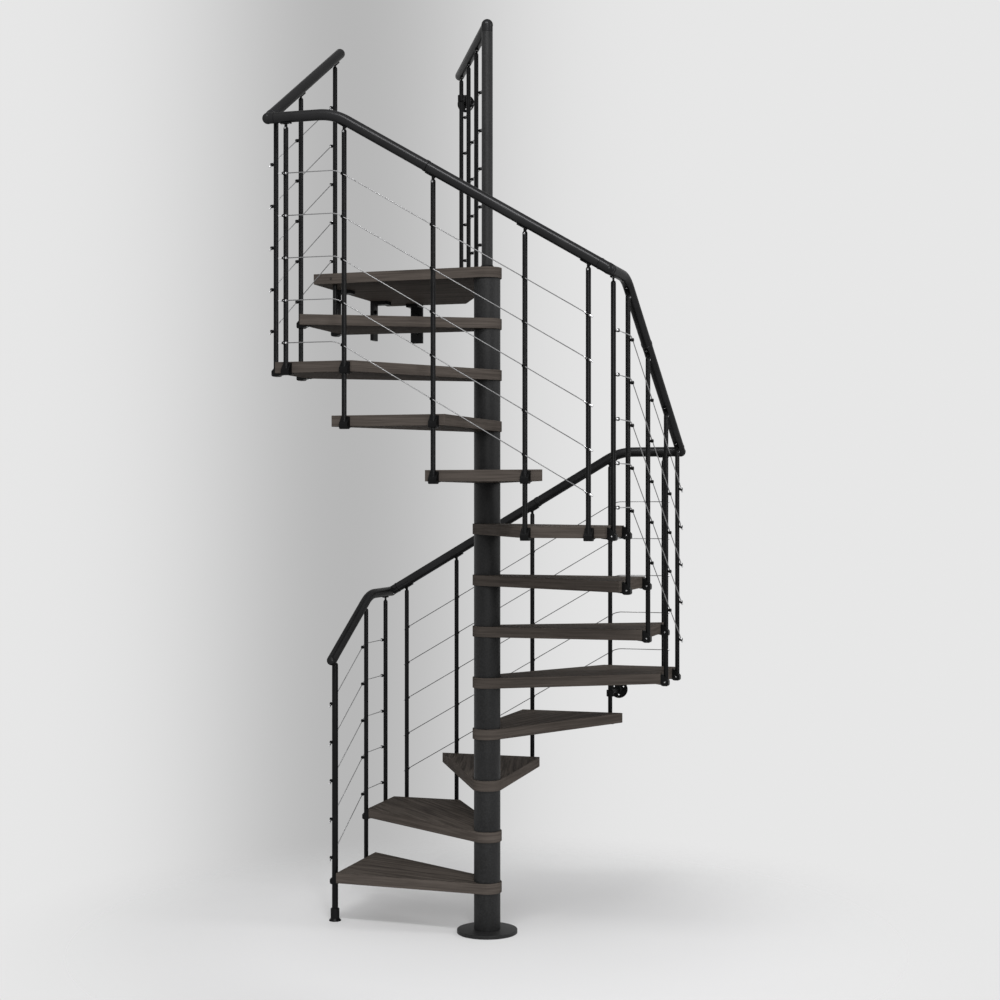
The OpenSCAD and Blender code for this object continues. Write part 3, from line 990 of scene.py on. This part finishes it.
def add_ferrule(shell, place, x, z=0.0, angle=0.0, way=1):
    """A pressed sleeve on a cable beside a stud."""
    direction = (way * cos(angle), 0, way * sin(angle))
    at = moved(place, x, 0, z) @ facing(direction)
    shell.turned(at, [(0, -6), (4.2, -6, 1), (4.2, 9, 2), (0, 9)], 20)


class STAIR_OT_cables(bpy.types.Operator):
    """The stranded cables with a ferrule at each end"""
    bl_idname = "stair.cables"
    bl_label = "Cables"

    def execute(self, context):
        s = sizes()
        pitch = atan(slope())
        radius = s.cable_d / 2
        places = baluster_places()
        ferrules = Shell()
        for name, sides in SIDE_GROUPS.items():
            shell = Shell()
            for side in sides:
                x0 = (0.0 if side == 0 else places[0]) - CABLE_TAIL
                x1 = (0.0 if side == 4 else places[-1]) + CABLE_TAIL
                for i in range(s.cable_count):
                    place = moved(side_frame(side), 0, s.cable_out, -i * s.cable_gap)
                    stations = [(x0, cable_z(x0), pitch, radius)]
                    angle = pitch
                    if side != 4:
                        stations += bend(cable_bend_x(), cable_z(x1), CABLE_BEND_R, radius, 8)
                        angle = 0.0
                    stations.append((x1, cable_z(x1), angle, radius))
                    shell.sweep(place, stations, 12)
                    add_ferrule(ferrules, place, x0, cable_z(x0), pitch, -1)
                    add_ferrule(ferrules, place, x1, cable_z(x1), angle)
                    # The bright sleeve at each end stud is partly a pressed sleeve and partly a
                    # painted highlight on the stud's head.
                    for x, lean in ((x0 + SLEEVE_AND_HIGHLIGHT_STEP, pitch), (x1 - SLEEVE_AND_HIGHLIGHT_STEP, angle)):
                        add_ferrule(ferrules, place, x, cable_z(x), lean)
            node = "cables_" + name
            shell.piece(node + "_strands", "cable", [node], sharp=180)
        guard = Shell()
        end = guard_places()[-1] + CABLE_TAIL
        for i in range(s.cable_count):
            height = GUARD_Z - s.guard_cable_drop - i * s.guard_cable_gap
            place = moved(guard_frame(0.0, height), 0, -s.cable_out)
            guard.sweep(place, [(GUARD_CABLE_X, 0, 0, radius), (end, 0, 0, radius)], 12)
            add_ferrule(ferrules, place, end)
        guard.piece("guard_cables_strands", "cable", ["guard_cables"], sharp=180)
        ferrules.piece("cable_ferrules", "screw")
        return {"FINISHED"}


def plate_outline(half, y0, y1, corner):
    """A rectangle with rounded corners, as wide to both sides, in mm."""
    x = half - corner
    centres = [(x, y1 - corner), (-x, y1 - corner), (-x, y0 + corner), (x, y0 + corner)]
    return [(x + corner * cos(a), y + corner * sin(a))
            for i, (x, y) in enumerate(centres)
            for a in [pi / 2 * (i + k / ROUND_STEPS) for k in range(ROUND_STEPS + 1)]]


# The tread's top down to a holder's lowest point, and the radii in mm of the holders' screws.
CUP_DROP = 60 * MM
TAIL_SCREW_R = 3.6
CHEEK_SCREW_R = 2.8


def cup_profile(post_r):
    """The outline of a holder seen from its side, in mm: a wedge with a thin tail inwards."""
    back, front = -post_r / MM - 11, post_r / MM + 3.5
    tail = back - 24
    return [(tail, 14.6), (tail, 13), (back, 10), (back + 5, 6), (back + 10, 4.5), (front - 7, 4.5),
            (front - 2, 6.5), (front, 11), (front, 27), (back + 9, 55), (back, 55), (back, 14.6)]


def add_holder(shell, screws, place, x, level, post_r):
    """A wedge-shaped cup round a baluster, with a tail that is screwed under the tread."""
    half = post_r / MM + 7
    at = moved(place, x, 0, level * RISE - CUP_DROP)
    sideways = Matrix(((0, 0, 1, -half * MM), (1, 0, 0, 0), (0, 1, 0, 0), (0, 0, 0, 1)))
    shell.slab(at @ sideways, cup_profile(post_r), 2 * half * MM)
    for dx in (-10, 10):
        spot = moved(at, dx * MM, -post_r - 23 * MM, 11.5 * MM)
        add_screw(screws, spot @ facing((0, -0.12, -0.99)), TAIL_SCREW_R)
    cheek = moved(at, half * MM, -3 * MM, 21.5 * MM)
    add_screw(screws, cheek @ facing((1, 0, 0)), CHEEK_SCREW_R)


class STAIR_OT_holders(bpy.types.Operator):
    """The cups that hold the balusters on the treads' edges"""
    bl_idname = "stair.holders"
    bl_label = "Baluster holders"

    def execute(self, context):
        s = sizes()
        screws = Shell()
        for name, sides in SIDE_GROUPS.items():
            shell = Shell()
            for side in sides:
                place = side_frame(side)
                for which in SIDE_BALUSTERS[side]:
                    first, last = BALUSTER_LEVELS[which]
                    if side == 4 and which == 2:
                        last = first
                    for level in range(first, last + 1):
                        add_holder(shell, screws, place, baluster_places()[which], level,
                                   s.baluster_d / 2)
                if side == 0:
                    add_holder(shell, screws, place, 0.0, START_POST_LEVEL, s.start_d / 2)
            node = "holders_" + name
            shell.piece(node + "_cups", "black", [node], edge=1.6 * MM)
        screws.piece("holder_screws", "screw")
        return {"FINISHED"}


# A saddle in mm: its plate's half sizes, thickness and depth in the rail, its tongue's half
# width and thickness, and the radii of its screws and its pin.
SADDLE_X, SADDLE_Y, SADDLE_T = 23, 9, 5
SADDLE_SINK = 0.5
TONGUE_X, TONGUE_T = 5.5, 6
SADDLE_SCREW_R, SADDLE_PIN_R = 3, 3.2


def add_saddle(shell, screws, place, angle, out=1):
    """A plate under the handrail, with a tongue that is pinned in the baluster's top."""
    radius = sizes().rail_d / 2
    bottom = -radius - (SADDLE_T - SADDLE_SINK) * MM
    plate = moved(place @ Matrix.Rotation(-angle, 4, "Y"), z=bottom)
    shell.slab(plate, plate_outline(SADDLE_X, -SADDLE_Y, SADDLE_Y, 4), SADDLE_T * MM)
    drop = radius * hypot(1, tan(angle)) / MM + 2
    tongue = moved(place @ Matrix.Rotation(pi / 2, 4, "X"), z=-TONGUE_T / 2 * MM)
    shell.slab(tongue, plate_outline(TONGUE_X, -drop - 26, -drop + 2, 2), TONGUE_T * MM)
    for x in (-16, 16):
        add_screw(screws, moved(plate, x * MM) @ facing((0, 0, -1)), SADDLE_SCREW_R)
    pin = moved(place, 0, out * 9.8 * MM, (-drop - 21) * MM)
    add_screw(screws, pin @ facing((0, out, 0)), SADDLE_PIN_R)


class STAIR_OT_saddles(bpy.types.Operator):
    """The saddles between the balusters and the handrail"""
    bl_idname = "stair.saddles"
    bl_label = "Rail saddles"

    def execute(self, context):
        shell, screws = Shell(), Shell()
        pitch = atan(slope())
        for side in range(5):
            for which in range(2, 5) if side == 0 else SIDE_BALUSTERS[side]:
                x = baluster_places()[which]
                place = moved(side_frame(side), x, 0, rail_z(x))
                add_saddle(shell, screws, place, 0.0 if which == 4 else pitch)
        for distance in guard_places():
            add_saddle(shell, screws, guard_frame(distance, GUARD_Z), 0.0, -1)
        shell.piece("rail_saddle_plates", "black", ["rail_saddles"], edge=0.8 * MM)
        screws.piece("saddle_pins", "screw")
        return {"FINISHED"}


def circle(x, y, radius, sides):
    """A round outline in mm, counter-clockwise."""
    return [(x + radius * cos(a), y + radius * sin(a)) for a in turns(sides)]


# A wall flange in mm: its disc's radius and thickness, its holes' circle and radius, and its arm.
FLANGE_R, FLANGE_T = 42, 6
FLANGE_HOLE_AT, FLANGE_HOLE_R = 26, 3.5
FLANGE_ARM_R = 9
UPPER_FLANGE_SHIFT = -14 * MM


def add_wall_flange(shell, post, reach, shift):
    """A clamp on a post with an arm to a drilled disc on the wall. post is in the row frame."""
    at = Matrix.Translation(post)
    shell.turned(at, [(10, -15), (17, -15, 1.5), (17, 15, 1.5), (10, 15)], 48, closed=True)
    end = Vector((shift, reach - 5 * MM, 0))
    tip = end.length / MM - 1
    shell.turned(at @ facing(end), [
        (0, 12), (FLANGE_ARM_R, 12), (FLANGE_ARM_R, tip - 5, 6), (15, tip), (0, tip)], 40)
    plate = moved(at, shift, reach - FLANGE_T * MM) @ Matrix.Rotation(-pi / 2, 4, "X")
    holes = [circle(FLANGE_HOLE_AT * sin(a), FLANGE_HOLE_AT * cos(a), FLANGE_HOLE_R, 20)
             for a in turns(3)]
    shell.slab(plate, circle(0, 0, FLANGE_R, 72), FLANGE_T * MM, holes)


class STAIR_OT_wall_flanges(bpy.types.Operator):
    """The two wall flanges on their arms"""
    bl_idname = "stair.wall_flanges"
    bl_label = "Wall flanges"

    def execute(self, context):
        shell = Shell()
        lower = Vector((sizes().inner_step, LINE_HALF, low("wall_flanges").z + FLANGE_R * MM))
        add_wall_flange(shell, lower, WALL_Y - LINE_HALF, 0.0)
        upper = guard_frame(guard_places()[-1]).translation
        upper.z = high("wall_flanges").z - FLANGE_R * MM
        add_wall_flange(shell, upper, WALL_Y - upper.y, UPPER_FLANGE_SHIFT)
        shell.piece("wall_flange_arms", "black", ["wall_flanges"], edge=0.9 * MM, sharp=40)
        return {"FINISHED"}


# The stage.

# The backdrop's dark band of painted shade: its direction left of +Y, its strength and how narrow it
# is.
BACKDROP_AWAY = radians(22)
BACKDROP_LIGHT = 0.80
BACKDROP_SHADE = 0.33
BACKDROP_NARROW = 250.0
# The floor in metres, with the distances between which it fades out.
FLOOR_R = 6.0
FLOOR_FADE = (0.9, 2.3)
FLOOR_GLOW = 0.12
# Each lamp's place, target, width, height and power in watts.
LAMPS = {
    "key_lamp": ((3.4, -7.4, 3.6), (0, 0, 1.9), 0.9, 3.2, 200),
    "side_lamp": ((5.5, 0.5, 3.4), (0, 0, 2.0), 0.9, 3.0, 80),
    "top_lamp": ((0.6, -3.6, 6.8), (0, 0, 2.4), 3.2, 1.0, 185),
}
CAMERA_AT = (2.24875, -7.13994, 1.86364)
CAMERA_TURN = radians(17.0595)
CAMERA_SENSOR = 36
CAMERA_LENS = 62.558
CAMERA_SHIFT = -0.00045


def stage_material():
    """Pale floor that fades out before the horizon and keeps the stair's shadow."""
    finish = Finish("pale_floor", Roughness=0.85, Emission_Color=(1, 1, 1, 1),
                    Emission_Strength=FLOOR_GLOW)
    place = finish.place()
    away = finish.wire.node("ShaderNodeVectorMath", {"operation": "LENGTH"}, {0: place}, 1)
    finish.set(
        Base_Color=place.noise(1.2).shades(colours().floor, 0.985, 1.015),
        Alpha=1 - away.ramp(*FLOOR_FADE))
    return finish.material


def stage_world():
    """Soft even light, with a pale backdrop for the camera and for mirror rays, crossed by a band of
    painted shade.
    """
    world = bpy.data.worlds.new("studio")
    world.use_nodes = True
    tree = world.node_tree
    wire = Wire(tree)
    background = tree.nodes["Background"]
    direction = wire.node("ShaderNodeTexCoord", output=WORLD_DIRECTION)
    flat = wire.node("ShaderNodeVectorMath", {"operation": "NORMALIZE"}, {
        0: direction.stretched(1, 1, 0)})
    corner = (-sin(BACKDROP_AWAY), cos(BACKDROP_AWAY), 0)
    match = wire.node("ShaderNodeVectorMath", {"operation": "DOT_PRODUCT"}, {0: flat, 1: corner}, 1)
    # A narrow band of painted shade darkens the backdrop in one direction.
    painted_shade = wire.math("POWER", wire.math("MAXIMUM", match, 0.0), BACKDROP_NARROW) * BACKDROP_SHADE
    seen = BACKDROP_LIGHT - painted_shade
    camera, mirror, through = [wire.node("ShaderNodeLightPath", output=ray)
                               for ray in (CAMERA_RAY, MIRROR_RAY, THROUGH_RAY)]
    shown = wire.math("MAXIMUM", wire.math("MAXIMUM", camera, mirror), through)
    lamp = direction.axis(2).ramp(-0.55, 0.30) * 0.44 + 0.10
    wire.put(background.inputs["Color"], (1, 1, 1, 1))
    wire.put(background.inputs["Strength"], shown * seen + (1 - shown) * lamp)
    bpy.context.scene.world = world


def add_lamp(name, at, target, width, height, energy):
    lamp = bpy.data.lights.new(name, "AREA")
    lamp.shape = "RECTANGLE"
    lamp.size, lamp.size_y = width, height
    lamp.energy = energy
    holder = linked(name, lamp)
    holder.location = at
    holder.rotation_euler = (Vector(target) - Vector(at)).to_track_quat("-Z", "Y").to_euler()


class STAIR_OT_stage(bpy.types.Operator):
    """Floor, backdrop, studio lamps and camera"""
    bl_idname = "stair.stage"
    bl_label = "Stage"

    def execute(self, context):
        shell = Shell()
        shell.lathe(Matrix(), [(FLOOR_R, 0), (0, 0)], 96)
        floor = linked("floor", shell.mesh("floor"))
        floor.data.materials.append(stage_material())
        stage_world()
        for name, lamp in LAMPS.items():
            add_lamp(name, *lamp)
        camera = bpy.data.cameras.new("camera")
        camera.sensor_width = CAMERA_SENSOR
        camera.lens = CAMERA_LENS
        camera.shift_y = CAMERA_SHIFT
        holder = linked("camera", camera)
        holder.location = CAMERA_AT
        holder.rotation_euler = (pi / 2, 0, CAMERA_TURN)
        context.scene.camera = holder
        context.scene.view_settings.view_transform = "Standard"
        return {"FINISHED"}


OPERATORS = [
    STAIR_OT_stage, STAIR_OT_base_plate, STAIR_OT_column, STAIR_OT_treads, STAIR_OT_landing,
    STAIR_OT_start_post, STAIR_OT_balusters, STAIR_OT_handrails, STAIR_OT_elbows, STAIR_OT_guard,
    STAIR_OT_cables, STAIR_OT_holders, STAIR_OT_saddles, STAIR_OT_wall_flanges,
]


class STAIR_PT_pieces(bpy.types.Panel):
    """Lists the stair's pieces, sizes and colours"""
    bl_idname = "STAIR_PT_pieces"
    bl_label = "Spiral stair"
    bl_space_type = "VIEW_3D"
    bl_region_type = "UI"
    bl_category = "Stair"

    def draw(self, context):
        for operator in OPERATORS:
            self.layout.operator(operator.bl_idname)
        for group in (context.scene.stair_sizes, context.scene.stair_colours):
            for name in group.bl_rna.properties.keys():
                if name not in ("rna_type", "name"):
                    self.layout.prop(group, name)


CLASSES = [StairSizes, StairColours] + OPERATORS + [STAIR_PT_pieces]


def register():
    for each in CLASSES:
        bpy.utils.register_class(each)
    bpy.types.Scene.stair_sizes = bpy.props.PointerProperty(type=StairSizes)
    bpy.types.Scene.stair_colours = bpy.props.PointerProperty(type=StairColours)


def unregister():
    del bpy.types.Scene.stair_colours
    del bpy.types.Scene.stair_sizes
    for each in reversed(CLASSES):
        bpy.utils.unregister_class(each)


def main():
    register()
    for operator in OPERATORS:
        group, name = operator.bl_idname.split(".")
        getattr(getattr(bpy.ops, group), name)()


if __name__ == "__main__":
    main()
